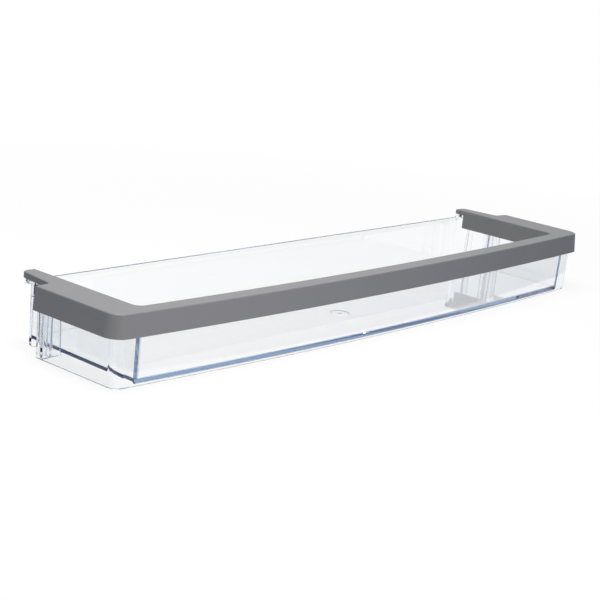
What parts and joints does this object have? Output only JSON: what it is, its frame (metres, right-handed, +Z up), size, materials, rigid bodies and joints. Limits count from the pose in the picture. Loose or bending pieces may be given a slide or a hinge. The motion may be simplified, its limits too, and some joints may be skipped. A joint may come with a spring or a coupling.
{
  "type": "fridge door shelf",
  "caption": "Shallow clear door shelf with a bowed front, hollow sides and a grey cap along its rim, hung on a fridge door by recesses at the rear of its sides.",
  "frame": {"origin": "centre of the bounding box, at the level of the tray's foot", "axes": "+X along the width, front towards -Y, +Z up"},
  "size_m": [0.4928, 0.1138, 0.0452],
  "materials": {
    "clear_plastic": "clear, glossy, bluish where it is seen along a wall",
    "grey_plastic": "satin grey"
  },
  "bodies": {
    "root": {"tray": "clear_plastic", "trim": "grey_plastic"}
  },
  "joints": []
}
